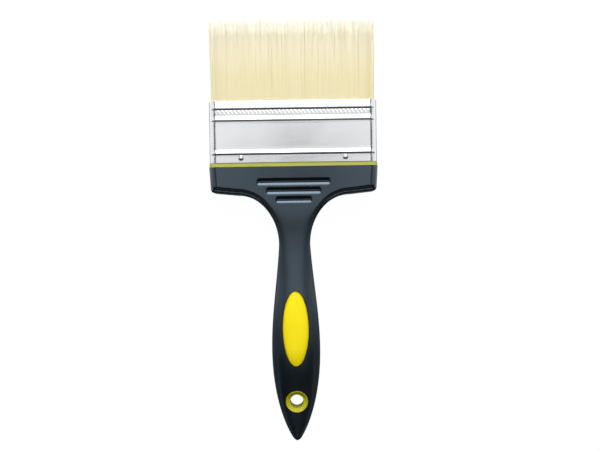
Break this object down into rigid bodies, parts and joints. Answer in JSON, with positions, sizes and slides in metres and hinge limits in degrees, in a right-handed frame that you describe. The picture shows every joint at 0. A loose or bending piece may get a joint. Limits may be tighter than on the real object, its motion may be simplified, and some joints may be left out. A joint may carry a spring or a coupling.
{
  "type": "flat paint brush",
  "caption": "Wide flat decorating brush with pale bristles in a beaded metal ferrule, on a black soft-grip handle with yellow inlays and a hang hole.",
  "frame": {"origin": "middle of the part's width and length, at the level of the surface that it lies on", "axes": "+X across the width, +Y along the brush towards the bristle tips, +Z from the back to the front face"},
  "size_m": [0.1006, 0.254, 0.022],
  "materials": {
    "core_plastic": "smooth moulded yellow",
    "grip_rubber": "satin soft-touch black",
    "ferrule_metal": "bright tin plate",
    "nail_steel": "bright plated",
    "setting_resin": "cured resin",
    "spacer_wood": "plain softwood",
    "bristle_filament": "tapered pale filaments"
  },
  "bodies": {
    "handle": {"handle_core": "core_plastic", "handle_grip": "grip_rubber", "ferrule": "ferrule_metal", "ferrule_nails": "nail_steel", "resin_setting": "setting_resin", "spacer_strip_front": "spacer_wood", "spacer_strip_rear": "spacer_wood"},
    "bristles": {"bristle_bundle_front": "bristle_filament", "bristle_bundle_middle": "bristle_filament", "bristle_bundle_rear": "bristle_filament"}
  },
  "joints": [
    {"name": "bristle_flex", "type": "hinge", "parent": "handle", "child": "bristles", "pos_m": [0, 0.077, 0.011], "axis": [1, 0, 0], "range_deg": [-30, 30], "stiffness_Nm_per_rad": 0.4, "deforming": ["bristle_bundle_front", "bristle_bundle_middle", "bristle_bundle_rear"]}
  ]
}
